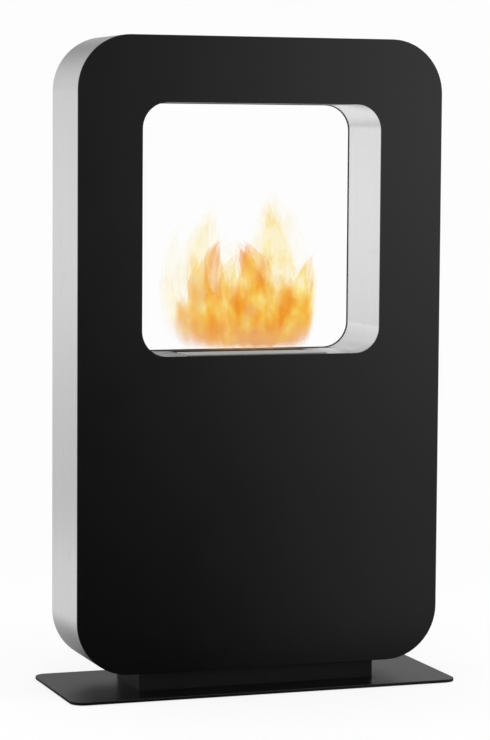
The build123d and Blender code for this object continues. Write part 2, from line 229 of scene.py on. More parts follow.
# Shader expressions

# A Mix node holds sockets for numbers, vectors and colours. These are its colour sockets.
MIX_FIRST_COLOUR = 6
MIX_SECOND_COLOUR = 7
MIX_RESULT_COLOUR = 2


class Signal:
    """A shader socket that takes part in Python expressions."""

    def __init__(self, tree, socket):
        self.tree = tree
        self.socket = socket

    def out(self, name):
        """Another output of the same node."""
        return Signal(self.tree, self.socket.node.outputs[name])

    def _math(self, operation, first, second):
        return self.tree.add("ShaderNodeMath", {"operation": operation}, {0: first, 1: second})

    def __add__(self, other):
        return self._math("ADD", self, other)

    def __radd__(self, other):
        return self._math("ADD", other, self)

    def __sub__(self, other):
        return self._math("SUBTRACT", self, other)

    def __rsub__(self, other):
        return self._math("SUBTRACT", other, self)

    def __mul__(self, other):
        return self._math("MULTIPLY", self, other)

    def __rmul__(self, other):
        return self._math("MULTIPLY", other, self)

    def __truediv__(self, other):
        return self._math("DIVIDE", self, other)

    def __pow__(self, other):
        return self._math("POWER", self, other)


class Tree:
    """A node tree that is filled by short calls."""

    def __init__(self, node_tree):
        self.tree = node_tree
        self.tree.nodes.clear()

    def add(self, kind, settings=None, inputs=None, output=0):
        """Adds a node: its settings first, then the values or links of its sockets."""
        node = self.tree.nodes.new(kind)
        for name, value in (settings or {}).items():
            if name == "stops":
                self._set_stops(node.color_ramp, value)
            else:
                setattr(node, name, value)
        for name, value in (inputs or {}).items():
            if isinstance(value, Signal):
                self.tree.links.new(value.socket, node.inputs[name])
            else:
                node.inputs[name].default_value = value
        return Signal(self, node.outputs[output] if len(node.outputs) else None)

    @staticmethod
    def _set_stops(ramp, stops):
        while len(ramp.elements) < len(stops):
            ramp.elements.new(1.0)
        for element, (position, colour) in zip(ramp.elements, stops):
            element.position = position
            element.color = (*colour, 1.0) if len(colour) == 3 else colour

    def place(self):
        """The place on the piece, in metres in the object's own frame."""
        return self.add("ShaderNodeTexCoord", output="Object")

    def split(self, vector):
        """The X, Y and Z of a vector."""
        x = self.add("ShaderNodeSeparateXYZ", {}, {0: vector})
        return x, x.out("Y"), x.out("Z")

    def stretch(self, vector, scale):
        """A vector scaled on each axis."""
        return self.add("ShaderNodeVectorMath", {"operation": "MULTIPLY"}, {0: vector, 1: scale})

    def grain(self, vector, scale, detail, roughness=0.5):
        """Noise from 0 to 1: how many grains there are to a metre, and how fine and rough they go."""
        return self.add("ShaderNodeTexNoise", {}, {"Vector": vector, "Scale": scale, "Detail": detail,
                                                   "Roughness": roughness})

    def fade(self, value, start, end, low=0.0, high=1.0):
        """A smooth change from low to high as value goes from start to end."""
        return self.add("ShaderNodeMapRange", {"interpolation_type": "SMOOTHSTEP"},
                        {"Value": value, "From Min": start, "From Max": end,
                         "To Min": low, "To Max": high})

    def least(self, first, second):
        """The smaller of two values."""
        return self.add("ShaderNodeMath", {"operation": "MINIMUM"}, {0: first, 1: second})

    def most(self, first, second):
        """The larger of two values."""
        return self.add("ShaderNodeMath", {"operation": "MAXIMUM"}, {0: first, 1: second})

    def size_of(self, value):
        """A value without its sign."""
        return self.add("ShaderNodeMath", {"operation": "ABSOLUTE"}, {0: value})

    def blend(self, share, first, second):
        """A colour between two colours."""
        def colour(value):
            return value if isinstance(value, Signal) else (*value[:3], 1.0)
        inputs = {0: share, MIX_FIRST_COLOUR: colour(first), MIX_SECOND_COLOUR: colour(second)}
        return self.add("ShaderNodeMix", {"data_type": "RGBA"}, inputs, output=MIX_RESULT_COLOUR)

    def bump(self, height, strength, depth):
        """A normal that follows a height."""
        inputs = {"Height": height, "Strength": strength, "Distance": depth}
        return self.add("ShaderNodeBump", {}, inputs)


class Finish(Tree):
    """A material with one Principled shader, whose varying sockets are given by shade()."""

    def __init__(self, name, **constants):
        self.material = bpy.data.materials.new(name)
        self.material.use_nodes = True
        super().__init__(self.material.node_tree)
        self.constants = constants

    def shade(self, **varying):
        """Ends the material with its shader and gives it back."""
        sockets = {"Base Color": "colour", "Roughness": "roughness", "Metallic": "metallic",
                   "Normal": "normal", "Alpha": "alpha", "Emission Color": "glow"}
        inputs = {name.replace("_", " "): value for name, value in self.constants.items()}
        inputs.update({socket: varying[key] for socket, key in sockets.items() if key in varying})
        surface = self.add("ShaderNodeBsdfPrincipled", {}, inputs)
        self.add("ShaderNodeOutputMaterial", {}, {"Surface": surface})
        return self.material


def tinted(colour, factor):
    """A colour made lighter or darker."""
    return tuple(min(1.0, channel * factor) for channel in colour)


# Finishes

def black_coat(name, settings, gloss, painted_light_scale, matt):
    """Fine-grained black powder coat: orange peel, faint mottling, and dusty, rubbed patches that are
    strongest low down. Its colour is scaled paler for painted light or darker for painted shade."""
    finish = Finish(name, IOR=gloss)
    place = finish.place()
    peel = finish.grain(place, 900.0, 2.0)
    mottle = finish.grain(place, 9.0, 4.0)
    dust = finish.grain(place, 45.0, 6.0, 0.7)
    low_down = finish.fade(finish.split(place)[2], 300 * MM, 0.0)
    worn = finish.fade(dust, 0.56, 0.74) * (0.25 + 0.75 * low_down)
    base = tinted(settings.coat_colour, painted_light_scale)
    colour = finish.blend(mottle, tinted(base, 0.7), tinted(base, 1.3))
    colour = finish.blend(worn * 0.5, colour, WORN_COAT)
    roughness = matt * settings.coat_roughness + 0.04 * mottle + 0.05 * worn
    normal = finish.bump(peel, 0.05, COARSE_RELIEF)
    return finish.shade(colour=colour, roughness=roughness, normal=normal)


def brushed_steel(name, tint, roughness, painted_shade_map=None):
    """Steel brushed along the sheet: fine streaks that run round the cabinet, and soft cloudy bands.
    A painted shade map, if there is one, says where a dull black film of painted shade lies."""
    finish = Finish(name, IOR=STEEL_INDEX)
    place = finish.place()
    fine = finish.grain(finish.stretch(place, (5.0, 1400.0, 5.0)), 1.0, 4.0, 0.7)
    broad = finish.grain(finish.stretch(place, (2.5, 90.0, 2.5)), 1.0, 2.0)
    cloud = finish.grain(place, 5.0, 3.0)
    smudge = finish.fade(finish.grain(place, 22.0, 5.0, 0.6), 0.55, 0.75)
    shade = 0.45 * fine + 0.35 * broad + 0.2 * cloud
    colour = finish.blend(shade, tinted(tint, 0.9), tinted(tint, 1.1))
    grey = roughness + 0.10 * fine + 0.04 * smudge - 0.04
    metal = 1.0
    # A dull black film of painted shade where the map puts it, which stops the steel mirroring
    if painted_shade_map is not None:
        painted_shade = painted_shade_map(finish, place)
        colour = finish.blend(painted_shade, colour, PAINTED_SHADE_BLACK)
        metal = 1 - painted_shade
    normal = finish.bump(fine, 0.06, FINE_RELIEF)
    return finish.shade(colour=colour, roughness=grey, metallic=metal, normal=normal)


def liner_painted_shade(finish, place):
    """Painted shade on the liner, as a dull black film: on its roof, and on its sill behind the slot."""
    _, y, z = finish.split(place)
    roof_face = liner_high.z - LINER_SHEET
    sill_face = liner_low.z + LINER_SHEET
    roof = finish.fade(z, roof_face - 1.2 * MM, roof_face - 0.2 * MM)
    sill = finish.fade(z, sill_face + 1.2 * MM, sill_face + 0.2 * MM)
    behind_slot = finish.fade(y, slot_rear - 2 * MM, slot_rear + 8 * MM)
    return 0.9 * finish.most(roof, sill * behind_slot)


def burner_steel(name, settings, roughness, tint_scale, heat_share):
    """Satin steel with heat colours that fade out from the slot, painted shade below the top plate, and
    a dull black film of painted shade behind the slot. The shutter takes the heat colours along its
    rear edge."""
    finish = Finish(name, IOR=STEEL_INDEX)
    place = finish.place()
    x, y, z = finish.split(place)
    along = finish.grain(finish.stretch(place, (8.0, 900.0, 8.0)), 1.0, 3.0, 0.6)
    blotch = finish.grain(place, 60.0, 4.0, 0.6)
    away_x = END_PINCH * finish.most(finish.size_of(x - slot_middle.x) - slot_half.x, 0.0)
    away_y = finish.most(finish.size_of(y - slot_middle.y) - slot_half.y, 0.0)
    away = (away_x ** 2.0 + away_y ** 2.0) ** 0.5 + 10 * MM * blotch - 5 * MM
    tint = tinted(settings.burner_colour, tint_scale)
    colour = finish.blend(along, tinted(tint, 0.9), tinted(tint, 1.08))
    for starts, full, heat in HEAT_RINGS:
        colour = finish.blend(finish.fade(away, starts * MM, full * MM) * heat_share, colour, heat)
    # Painted shade: the steel darkens below the top plate
    below = finish.fade(z, slot_middle.z - 1 * MM, slot_middle.z - 12 * MM)
    colour = finish.blend(below * 0.8, colour, PAINTED_SHADE_STEEL)
    # Painted shade: a dull black film on the top behind the slot, which stops the steel mirroring there
    upper = finish.fade(z, slot_middle.z - 1.0 * MM, slot_middle.z - 0.3 * MM)
    painted_shade = finish.fade(y, slot_rear - 1 * MM, slot_rear + 3 * MM) * upper
    colour = finish.blend(painted_shade, colour, PAINTED_SHADE_BLACK)
    grey = roughness + 0.10 * along + 0.10 * blotch - 0.10
    normal = finish.bump(along, 0.06, FINE_RELIEF)
    return finish.shade(colour=colour, roughness=grey, metallic=1 - 0.9 * painted_shade, normal=normal)


def screen_steel(settings):
    """Perforated steel that the flame has blued and browned."""
    finish = Finish("heat_browned_screen", Metallic=1.0)
    place = finish.place()
    blotch = finish.grain(place, 55.0, 5.0, 0.7)
    speck = finish.grain(place, 700.0, 3.0)
    dark_steel = tinted(settings.burner_colour, 0.35)
    colour = finish.blend(finish.fade(blotch, 0.3, 0.7), dark_steel, SCREEN_BROWN)
    colour = finish.blend(finish.fade(speck, 0.55, 0.7) * 0.4, colour, SCREEN_SPECK)
    normal = finish.bump(speck, 0.1, COARSE_RELIEF)
    return finish.shade(colour=colour, roughness=0.35 + 0.25 * blotch, normal=normal)


def galvanised(settings):
    """Dull zinc with flakes of different brightness."""
    finish = Finish("galvanised_sheet", Metallic=1.0)
    place = finish.place()
    flakes = finish.add("ShaderNodeTexVoronoi", {"feature": "F1"}, {"Vector": place, "Scale": 120.0},
                        output="Color")
    flake = finish.split(flakes)[0]
    stain = finish.grain(place, 14.0, 5.0, 0.6)
    tint = settings.zinc_colour
    colour = finish.blend(flake, tinted(tint, 0.72), tinted(tint, 1.25))
    colour = finish.blend(finish.fade(stain, 0.58, 0.75) * 0.35, colour, ZINC_STAIN)
    normal = finish.bump(flake, 0.05, COARSE_RELIEF)
    return finish.shade(colour=colour, roughness=0.36 + 0.2 * flake + 0.08 * stain, normal=normal)


def zinc_plate(settings):
    """Bright zinc plating with a faint yellow bloom and turning marks."""
    finish = Finish("zinc_plating", Metallic=1.0)
    place = finish.place()
    bloom = finish.grain(place, 160.0, 4.0)
    turned = finish.grain(finish.stretch(place, (300.0, 1800.0, 1800.0)), 1.0, 2.0)
    tint = tinted(settings.zinc_colour, 1.2)
    yellowed = (tint[0], tint[1] * 0.93, tint[2] * 0.74)
    colour = finish.blend(finish.fade(bloom, 0.35, 0.7), tint, yellowed)
    normal = finish.bump(turned, 0.08, FINE_RELIEF)
    return finish.shade(colour=colour, roughness=0.22 + 0.15 * turned, normal=normal)


def black_oxide():
    """Blackened fastener steel, rubbed a little brighter in places."""
    finish = Finish("black_oxide", Metallic=0.6)
    place = finish.place()
    rub = finish.fade(finish.grain(place, 420.0, 4.0, 0.6), 0.5, 0.72)
    grain = finish.grain(place, 2500.0, 2.0)
    colour = finish.blend(rub * 0.6, OXIDE, RUBBED_OXIDE)
    normal = finish.bump(grain, 0.12, FINE_RELIEF)
    return finish.shade(colour=colour, roughness=0.42 - 0.12 * rub, normal=normal)


def pad_rubber():
    """Dense black rubber with floor dust ground into it."""
    finish = Finish("pad_rubber")
    place = finish.place()
    speck = finish.grain(place, 1300.0, 4.0)
    dust = finish.fade(finish.grain(place, 90.0, 5.0, 0.7), 0.5, 0.75)
    colour = finish.blend(dust * 0.5, RUBBER, FLOOR_DUST)
    normal = finish.bump(speck, 0.3, COARSE_RELIEF)
    return finish.shade(colour=colour, roughness=0.7 + 0.15 * speck, normal=normal)


def ceramic_fibre(settings, name, scale, scorched_from=None):
    """White mineral fibre, tangled, with painted shade in the hollows between the strands. It is browned
    above the height that scorched_from gives, if there is one."""
    finish = Finish(name, Roughness=0.95)
    place = finish.place()
    strands = finish.grain(finish.stretch(place, (0.35, 1.0, 1.0)), scale, 6.0, 0.75)
    cross = finish.grain(finish.stretch(place, (1.0, 0.3, 1.0)), scale * 1.3, 6.0, 0.75)
    tangle = finish.most(strands, cross)
    tint = settings.fibre_colour
    # Painted shade: the colour darkens where the tangle sinks into hollows
    colour = finish.blend(finish.fade(tangle, 0.42, 0.66), tinted(tint, 0.55), tinted(tint, 1.1))
    if scorched_from is not None:
        brown = finish.fade(finish.split(place)[2], scorched_from, scorched_from + 6 * MM)
        patch = finish.fade(finish.grain(place, 38.0, 3.0), 0.35, 0.65)
        colour = finish.blend(brown * (0.2 + 0.45 * patch), colour, SCORCHED_FIBRE)
    return finish.shade(colour=colour, normal=finish.bump(tangle, 0.6, FIBRE_RELIEF))


def flame_light(settings):
    """Soft flame: coloured by each tongue's tone and height, streaked by drawn-out noise, peach low
    down, and see-through at its tips, at its foot and where it is torn."""
    finish = Finish("flame_light", Emission_Strength=1.0, Specular_IOR_Level=0.0, Roughness=1.0,
                    Base_Color=(0.0, 0.0, 0.0, 1.0))
    rise, tone, body = (finish.add("ShaderNodeAttribute", {"attribute_name": name}, output="Fac")
                        for name in FLAME_LAYERS)
    place = finish.place()
    x, _, z = finish.split(place)
    height = z - slot_middle.z
    lick = finish.grain(finish.stretch(place, (52.0, 52.0, 17.0)), 1.0, 3.0, 0.6)
    patch = finish.grain(finish.stretch(place, (40.0, 40.0, 24.0)), 1.0, 2.0)
    wash = finish.grain(finish.stretch(place, (24.0, 24.0, 16.0)), 1.0, 2.0)
    mixed = tone + 1.7 * (patch - 0.5) + 0.6 * (lick - 0.5) + 0.06 * rise
    stops = ((0.0, settings.deep_colour), (0.25, settings.orange_colour), (0.55, settings.gold_colour),
             (0.85, settings.lemon_colour), (1.0, PALEST_FLAME))
    colour = finish.add("ShaderNodeValToRGB", {"stops": stops}, {"Fac": mixed})
    peach = finish.fade(wash, 0.50, 0.66, 0.0, 0.55) * finish.fade(height, 150 * MM, 90 * MM)
    footing = finish.fade(height, 60 * MM, 10 * MM) * finish.fade(wash, 0.25, 0.65, 0.45, 0.95)
    colour = finish.blend(finish.most(peach, footing), colour, settings.foot_colour)
    tip_fade = finish.fade(rise, 1.0, 0.78, 0.12, 1.0)
    foot_top = finish.fade(finish.size_of(x - 20 * MM), 20 * MM, 120 * MM, 32 * MM, 78 * MM)
    foot_fade = finish.fade(height, -1 * MM, foot_top)
    torn = finish.fade(lick, 0.28, 0.52, 0.5, 1.0)
    alpha = body * tip_fade * foot_fade * torn
    material = finish.shade(glow=colour, alpha=alpha)
    material.cycles.emission_sampling = "NONE"
    return material


def coat(nodes, material):
    """Gives the solids' pieces a finish through their material slots."""
    for name in nodes:
        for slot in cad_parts[name].material_slots:
            slot.material = material


def new_piece(name, mesh_maker):
    """An object whose mesh a function fills."""
    mesh = bpy.data.meshes.new(name)
    work = bmesh.new()
    mesh_maker(work)
    work.to_mesh(mesh)
    work.free()
    piece = bpy.data.objects.new(name, mesh)
    bpy.context.scene.collection.objects.link(piece)
    return piece


# Wool filling

WOOL_CUTS = 23
LUMP_PITCH = 55.0
STRAND_PITCH = 210.0
LUMP_DEPTH = 2.5 * MM
STRAND_DEPTH = 1.2 * MM
SIDE_DEPTH = 0.6 * MM
CORNER_ROUNDING = 0.035
STRAND_SHRINK = 0.004
END_SHRINK = 0.012
SCORCH_DEPTH = 8 * MM


def wool_block(work):
    """A pad of loose fibre that fills the tank: soft edges and a lumpy, quilted top."""
    middle = (wool_low + wool_high) / 2
    half = (wool_high - wool_low) / 2
    bmesh.ops.create_cube(work, size=2.0)
    bmesh.ops.subdivide_edges(work, edges=work.edges[:], cuts=WOOL_CUTS, use_grid_fill=True)
    for vertex in work.verts:
        unit = vertex.co.copy()
        edge_round = 1 - CORNER_ROUNDING * (abs(unit.x) ** 8 * abs(unit.y) ** 8)
        spot = Vector((unit.x * half.x, unit.y * half.y, unit.z * half.z)) * edge_round
        lump = 0.5 + 0.5 * noise.noise(spot * LUMP_PITCH)
        fine = 0.5 + 0.5 * noise.noise(spot * STRAND_PITCH)
        on_top = unit.z > 0.5
        sink = LUMP_DEPTH * lump + STRAND_DEPTH * fine if on_top else SIDE_DEPTH * fine
        shrink = 1 - STRAND_SHRINK * fine - END_SHRINK * abs(unit.z) ** 6
        vertex.co = Vector((spot.x * shrink, spot.y * shrink, spot.z - sink * max(unit.z, 0.2))) + middle
    for face in work.faces:
        face.smooth = True


# Flame

Tongue = namedtuple("Tongue", "foot bend tip height width depth tone body")

# Foot, bend and tip are places across the slot, from its middle, and depth is towards the back. These,
# height and width are in millimetres. Tone runs from 0, deep orange, to 1, palest yellow, and body
# from 0, clear, to 1, thick.
TONGUES = (
    Tongue(-42, -68, -34, 196, 42, 0, 0.10, 0.97),
    Tongue(-58, -70, -84, 180, 42, 4, 0.40, 0.95),
    Tongue(-78, -98, -98, 104, 38, -2, 0.26, 0.85),
    Tongue(-84, -122, -112, 146, 56, 3, 0.90, 0.46),
    Tongue(-82, -120, -112, 236, 60, 6, 1.00, 0.26),
    Tongue(-20, -16, -34, 178, 36, 7, 0.82, 0.92),
    Tongue(-28, -22, -12, 172, 44, 5, 0.44, 0.66),
    Tongue(-34, -38, -26, 150, 34, -4, 0.34, 0.75),
    Tongue(14, 36, 10, 198, 56, -2, 0.26, 0.96),
    Tongue(2, 2, -9, 150, 32, 3, 0.36, 0.75),
    Tongue(16, 22, 18, 130, 18, -9, 0.00, 0.85),
    Tongue(40, 38, 47, 140, 58, -4, 0.14, 0.94),
    Tongue(60, 64, 80, 138, 52, -6, 0.22, 0.92),
    Tongue(32, 28, 28, 130, 38, 2, 0.26, 0.85),
    Tongue(98, 102, 112, 168, 50, 3, 0.58, 0.95),
    Tongue(98, 120, 118, 128, 34, -3, 0.70, 0.80),
    Tongue(82, 94, 86, 130, 50, -6, 0.24, 0.90),
    Tongue(60, 74, 46, 262, 82, 6, 0.82, 0.68),
    Tongue(58, 60, 42, 282, 50, 9, 0.74, 0.50),
    Tongue(30, 52, 18, 206, 60, 8, 0.78, 0.50),
    Tongue(-58, -68, -58, 262, 58, 8, 0.86, 0.54),
    Tongue(-52, -66, -74, 190, 56, 8, 0.92, 0.42),
    Tongue(84, 92, 92, 154, 50, 8, 0.82, 0.50),
    Tongue(96, 128, 120, 168, 42, 5, 0.96, 0.34),
    Tongue(-12, -6, -10, 206, 74, 9, 0.98, 0.32),
    Tongue(-46, -66, -46, 262, 112, 8, 1.00, 0.26),
    Tongue(42, 68, 44, 286, 140, 8, 0.96, 0.32),
)
# Places across and heights along the top edge of the flame's thick part.
MASS_TOP = ((-96, 84), (-70, 116), (-50, 130), (-28, 104), (-6, 122), (16, 138), (42, 136), (72, 136),
            (92, 124), (108, 116))
# Places across, heights and widths of the low tongues that join the feet.
FOOT_TONGUES = ((-46, 70, 76), (4, 74, 84), (56, 68, 84))
# The foot lies this far under the top plate.
FLAME_FOOT = 4 * MM
FLAME_LAYERS = ("rise", "tone", "body")
DRIFT_SEED = 11

# The broad tongues of the thick part. Their feet gather towards the slot's middle, and they lean,
# swing back and change tone by steps from one to the next.
MASS_GATHER = 0.78
MASS_WIDTH = 54
MASS_BODY = 0.9
MASS_TONE = 0.44
MASS_TONE_CHANGE = 0.16
MASS_BEND = 5
MASS_LEAN = 7
MASS_BACK = -4
MASS_SWING = 6
LEAN_STEP = 2.4
SWING_STEP = 1.7
FOOT_TONE = 0.5
FOOT_BODY = 0.7

# The small tongues inside: a row across the slot, each with its own bend, tip, width and depth.
FILLER_TONGUES = 24
FILLER_SEED = 11
FILLER_LEFT = -88
FILLER_SPAN = 192
FILLER_LOW = 62
FILLER_TALL = 72
FILLER_REACH = 160
FILLER_GATHER = 0.84
FILLER_BEND = 12
FILLER_LEAN = 14
FILLER_WIDTH = (14, 30)
FILLER_DEPTH = 12
FILLER_TONE = (0.0, 0.9)
FILLER_BODY = (0.5, 0.9)

# One layer of a tongue: how it is divided, its teardrop, and its thickness from front to back, which
# stops growing at a width. The inner layers are slimmer, lower and a little deeper in tone.
RINGS = 16
SECTORS = 10
FOOT_ROUNDNESS = 0.17
TAPER = 0.92
THICKNESS = 0.6
THICKEST = 50
SOLID_CORE = 0.4
INNER_RISE = 0.80
DENSEST = 0.995
PALER_OUTWARD = 0.2
EVEN_LEVEL = 0.4

# How a tongue winds: waves on its way up, and where its neighbour's waves start after its own.
SWAY = 0.10
SWAY_WAVES = 0.85
SWAY_SHIFT = 0.37
ROLL = 0.5
ROLL_WAVES = 0.6
ROLL_SHIFT = 0.21

# How the layers are pulled about: finer across than up, least at the foot, each by a drift of its own.
LICK_PITCH = Vector((30.0, 30.0, 13.0))
LICK_SHAPE = Vector((1.0, 0.5, 0.7))
LICK_SIZE = 0.5
LICK_WIDEST = 46
LICK_AT_FOOT = 0.15
LICK_START = 8
DRIFT_ACROSS = 7.3
DRIFT_BACK = 3.1
DRIFT_UP = 2.3


def mass_tongues():
    """Broad tongues that fill the flame up to its thick part's top edge, and low ones that join
    their feet."""
    for step, (across, top) in enumerate(MASS_TOP):
        lean = math.sin(step * LEAN_STEP)
        depth = MASS_BACK + MASS_SWING * math.cos(step * SWING_STEP)
        tone = MASS_TONE + MASS_TONE_CHANGE * lean
        yield Tongue(MASS_GATHER * across, across - MASS_BEND * lean, across + MASS_LEAN * lean, top,
                     MASS_WIDTH, depth, tone, MASS_BODY)
    for across, top, width in FOOT_TONGUES:
        yield Tongue(across, across, across, top, width, 0, FOOT_TONE, FOOT_BODY)


def filler_tongues():
    """Small uneven tongues inside the flame, taller towards its middle."""
    draw = random.Random(FILLER_SEED)
    for step in range(FILLER_TONGUES):
        across = FILLER_LEFT + FILLER_SPAN * (step + draw.random()) / FILLER_TONGUES
        tall = FILLER_LOW + FILLER_TALL * draw.random() * (1 - (across / FILLER_REACH) ** 2)
        bend = across + draw.uniform(-FILLER_BEND, FILLER_BEND)
        tip = across + draw.uniform(-FILLER_LEAN, FILLER_LEAN)
        width = draw.uniform(*FILLER_WIDTH)
        depth = draw.uniform(-FILLER_DEPTH, FILLER_DEPTH)
        yield Tongue(FILLER_GATHER * across, bend, tip, tall, width, depth,
                     draw.uniform(*FILLER_TONE), draw.uniform(*FILLER_BODY))


def tongue_width(rise):
    """Half-open teardrop: full below the middle of the height, drawn to a point at the tip."""
    return math.sin(math.pi * (FOOT_ROUNDNESS + (1 - FOOT_ROUNDNESS) * rise) ** TAPER)


def tongue_centre(tongue, number, rise, height_scale):
    """The middle of a tongue at a share of its height, from the slot's middle: a curve from foot to
    tip that sways as it rises."""
    fall = 1 - rise
    lean = fall ** 2 * tongue.foot + 2 * fall * rise * tongue.bend + rise ** 2 * tongue.tip
    swaying = math.sin(2 * math.pi * (SWAY_WAVES * rise + SWAY_SHIFT * number))
    rolling = math.sin(2 * math.pi * (ROLL_WAVES * rise + ROLL_SHIFT * number))
    sway = SWAY * tongue.width * swaying * rise
    roll = ROLL * tongue.depth * rolling
    return Vector((lean + sway, tongue.depth + roll, tongue.height * height_scale * rise)) * MM


def tongue_shell(work, layers, tongue, number, level, settings):
    """One closed layer of a tongue, level 1 the outermost, pulled about by its own drift."""
    rise_layer, tone_layer, body_layer = layers
    share = SOLID_CORE + (1 - SOLID_CORE) * level
    layer_share = (1 + 1 / settings.shells - level) / (settings.shells + 1)
    opacity = 1 - (1 - min(tongue.body * settings.density, DENSEST)) ** layer_share
    foot = Vector((slot_middle.x, slot_middle.y, slot_middle.z - FLAME_FOOT))
    own_drift = Vector((DRIFT_ACROSS * number, DRIFT_BACK * number, DRIFT_UP * level))
    rings = []
    for ring in range(RINGS + 1):
        along = ring / RINGS
        rise = along * (INNER_RISE + (1 - INNER_RISE) * level)
        centre = foot + tongue_centre(tongue, number, rise, settings.height_scale)
        across = 0.5 * tongue.width * MM * share * tongue_width(along)
        thick = across * THICKNESS * min(1.0, THICKEST / tongue.width)
        loose = min(tongue.width, LICK_WIDEST) * MM * LICK_SIZE
        loose *= (LICK_AT_FOOT + rise) * min(1.0, LICK_START * rise)
        rings.append([])
        for sector in range(SECTORS):
            angle = 2 * math.pi * sector / SECTORS
            spot = centre + Vector((math.cos(angle) * across, math.sin(angle) * thick, 0))
            pull = noise.noise_vector(spot * LICK_PITCH + own_drift)
            vertex = work.verts.new(spot + pull * LICK_SHAPE * loose)
            vertex[rise_layer] = rise
            vertex[tone_layer] = tongue.tone + PALER_OUTWARD * (level - EVEN_LEVEL)
            vertex[body_layer] = opacity
            rings[-1].append(vertex)
    for lower, upper in zip(rings, rings[1:]):
        for sector in range(SECTORS):
            following = (sector + 1) % SECTORS
            work.faces.new((lower[sector], lower[following], upper[following], upper[sector]))
    work.faces.new(list(reversed(rings[0])))
    work.faces.new(rings[-1])


def flame_body(work, settings):
    """All tongues, each as closed layers one inside another."""
    noise.seed_set(DRIFT_SEED)
    layers = [work.verts.layers.float.new(name) for name in FLAME_LAYERS]
    for number, tongue in enumerate((*TONGUES, *mass_tongues(), *filler_tongues())):
        for shell in range(settings.shells):
            tongue_shell(work, layers, tongue, number, (shell + 1) / settings.shells, settings)
    for face in work.faces:
        face.smooth = True


# Studio

FLOOR_HALF = 12.0
FLOOR_CELLS = 8
SEE_THROUGH_LAYERS = 128
LAMP_PLACE = Vector((0.0, -0.4, 3.4))
LAMP_AIM = Vector((0.0, 0.0, 0.4))
LAMP_WIDTH = 2.4
SENSOR_WIDTH = 36.0
SIGHT_END = 60.0

# The camera sees the floor's own shading up close and none of it far off. In mirrors the floor is
# darkest at the base plate, up to a distance from it.
SHADING_NEAR = 0.4
SHADING_FAR = 1.5
CONTACT_REACH = 0.6
CONTACT_LEVEL = 0.3

# The reflector card is an L upside down: a stem at the right, and an arm at the top that reaches left.
CARD_Y = 1.5
CARD_LEFT = -0.32
CARD_STEM = 0.66
CARD_RIGHT = 1.0
CARD_LOW = 0.58
CARD_ARM = 0.94
CARD_HIGH = 1.22

# Brightness that the steel and the black coat mirror, from the walls of the studio.
BEHIND_LEFT = 1.02
BEHIND_RIGHT = 0.09
HORIZON_STEP = 0.09
FRONT_PANEL = 1.56
FRONT_GAP = 0.01
FRONT_LEFT = 0.75
OVERHEAD = 0.85


def camera_matrix(studio):
    """The camera's place and turn: it looks back along +Y, turned right, tilted and rolled."""
    turn, tilt = studio.camera_turn, studio.camera_tilt
    ahead = Vector((math.sin(turn) * math.cos(tilt), math.cos(turn) * math.cos(tilt), math.sin(tilt)))
    right = Vector((math.cos(turn), -math.sin(turn), 0))
    above = right.cross(ahead)
    cos_roll, sin_roll = math.cos(studio.camera_roll), math.sin(studio.camera_roll)
    rolled_right = cos_roll * right + sin_roll * above
    rolled_above = cos_roll * above - sin_roll * right
    rotation = Matrix((rolled_right, rolled_above, -ahead)).transposed()
    return Matrix.Translation(studio.camera_place) @ rotation.to_4x4()


def camera_only(tree, seen, unseen):
    """One shader for what the camera sees, another for all other rays."""
    ray = tree.add("ShaderNodeLightPath", output="Is Camera Ray")
    return tree.add("ShaderNodeMixShader", {}, {0: ray, 1: unseen, 2: seen})


def studio_world(studio):
    """White to the camera. To mirrors, and as light, it is a studio with pale and dark walls. X, Y and Z
    are those of the direction that is looked in, from -1 to 1."""
    world = bpy.data.worlds.new("studio_world")
    world.use_nodes = True
    tree = Tree(world.node_tree)
    x, y, z = tree.split(tree.add("ShaderNodeTexCoord", output="Generated"))

    # Behind, it falls from bright on the left to dark on the right, steeply and then gently. On the
    # right it is a little brighter above and more so high up, with a bright streak low down at the far
    # right. It is also a little brighter under the horizon than over it.
    falling = tree.most(0.27 - 2.35 * x, 0.46 - 0.96 * x)
    falling = tree.least(tree.most(falling, BEHIND_RIGHT), BEHIND_LEFT)
    above_right = 0.165 * tree.fade(x, 0.05, 0.25) * tree.fade(z, 0.06, 0.20)
    streak = tree.fade(x, 0.333, 0.362) * tree.fade(z, 0.16, 0.08)
    horizon = tree.fade(z, -0.025, 0.035, HORIZON_STEP, -HORIZON_STEP)
    high_right = 0.42 * tree.fade(x, 0.05, 0.15) * tree.fade(z, 0.24, 0.32)
    behind = falling + above_right + streak + horizon + high_right

    # In front, a bright panel stands on the right. It is weaker below the horizon, and above it mainly
    # at its left edge. A dark gap parts it from a softer panel on the left.
    right_panel = tree.fade(x, 0.24, 0.46, FRONT_GAP, FRONT_PANEL)
    lower = tree.fade(z, -0.40, 0.02, 0.35, 1.0)
    dimmed = (0.15 + 0.5 * tree.fade(x, 0.40, 0.31)) * tree.fade(z, -0.015, 0.04)
    left_panel = tree.fade(x, 0.0, -0.25, 0.0, FRONT_LEFT)
    front = right_panel * lower * (1 - dimmed) + left_panel

    level = tree.fade(y, -0.25, 0.25) * (behind - front) + front
    level = level + tree.fade(z, 0.35, 0.8) * (OVERHEAD - level)
    ring = tree.add("ShaderNodeBackground", {}, {"Color": WHITE, "Strength": level})
    white = tree.add("ShaderNodeBackground", {}, {"Color": WHITE, "Strength": studio.background})
    tree.add("ShaderNodeOutputWorld", {}, {"Surface": camera_only(tree, white, ring)})
    return world


